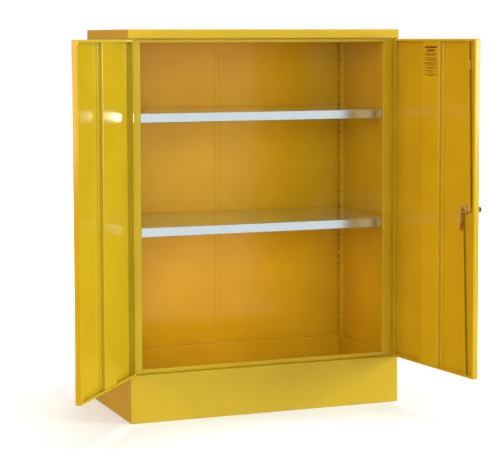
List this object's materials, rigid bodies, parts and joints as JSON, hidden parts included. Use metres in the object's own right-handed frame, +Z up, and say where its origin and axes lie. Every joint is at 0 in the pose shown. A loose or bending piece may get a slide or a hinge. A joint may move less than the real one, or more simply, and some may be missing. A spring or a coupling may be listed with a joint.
{
  "type": "flammable storage cabinet",
  "caption": "Free-standing yellow steel safety cupboard with two hinged doors, bolt-rod lock, adjustable galvanised shelves and a spill sump in the base.",
  "frame": {"origin": "at floor level on the cabinet's centre line, in the middle of the front plinth's turned-in foot flange", "axes": "+Z up, -Y out of the front, +X to the right as seen from the front"},
  "size_m": [1.2697, 0.9031, 1.22],
  "materials": {
    "paint": "yellow powder coat, semi-gloss",
    "galvanised": "bright galvanised sheet",
    "chrome": "bright plated",
    "black": "satin black",
    "brown": "red-brown primer"
  },
  "bodies": {
    "cabinet": {"back_panel_left": "paint", "back_panel_right": "paint", "clip_lower_front_left": "galvanised", "clip_lower_front_right": "galvanised", "clip_lower_rear_left": "galvanised", "clip_lower_rear_right": "galvanised", "clip_upper_front_left": "galvanised", "clip_upper_front_right": "galvanised", "clip_upper_rear_left": "galvanised", "clip_upper_rear_right": "galvanised", "header_rail": "paint", "hinge_frame_leaf_left": "paint", "hinge_frame_leaf_right": "paint", "hinge_pin_left": "chrome", "hinge_pin_right": "chrome", "jamb_left": "paint", "jamb_right": "paint", "plinth_back": "paint", "plinth_front": "paint", "plinth_side_left": "paint", "plinth_side_right": "paint", "roof_cap": "paint", "shelf_lower": "galvanised", "shelf_upper": "galvanised", "side_panel_left": "paint", "side_panel_right": "paint", "sill_rail": "paint", "sump_tray": "paint", "upright_front_left": "paint", "upright_front_right": "paint", "upright_rear_left": "paint", "upright_rear_right": "paint"},
    "left_door": {"door_pan_left": "paint", "door_stiffener_left": "paint", "hinge_door_leaf_left": "paint", "meeting_strip": "paint"},
    "right_door": {"door_pan_right": "paint", "door_stiffener_right": "paint", "hinge_door_leaf_right": "paint", "lock_barrel": "chrome", "lock_nut": "chrome", "rod_guide": "paint"},
    "lock": {"lock_handle": "black", "lock_cam": "chrome", "cam_screw": "chrome"},
    "upper_bolt": {"rod_upper": "paint"},
    "lower_bolt": {"rod_lower": "paint", "rod_lower_link": "black", "rod_splice": "brown"}
  },
  "joints": [
    {"name": "left_door_hinge", "type": "hinge", "parent": "cabinet", "child": "left_door", "pos_m": [-0.4535, -0.008, 0.67], "axis": [0, 0, -1], "range_deg": [-127.5, 52.5]},
    {"name": "right_door_hinge", "type": "hinge", "parent": "cabinet", "child": "right_door", "pos_m": [0.4535, -0.008, 0.67], "axis": [0, 0, 1], "range_deg": [-97, 83]},
    {"name": "lock_turn", "type": "hinge", "parent": "right_door", "child": "lock", "pos_m": [0.50152, -0.39906, 0.669], "axis": [-0.9925, -0.1219, 0], "range_deg": [0, 90]},
    {"name": "upper_bolt_slide", "type": "slide", "parent": "right_door", "child": "upper_bolt", "axis": [0, 0, 1], "range_m": [0, 0.0186]},
    {"name": "lower_bolt_slide", "type": "slide", "parent": "right_door", "child": "lower_bolt", "axis": [0, 0, -1], "range_m": [0, 0.0186]}
  ],
  "couplings": [
    {"joint": "upper_bolt_slide", "follows": "lock_turn", "m_per_rad": 0.011777},
    {"joint": "lower_bolt_slide", "follows": "lock_turn", "m_per_rad": 0.011777}
  ]
}
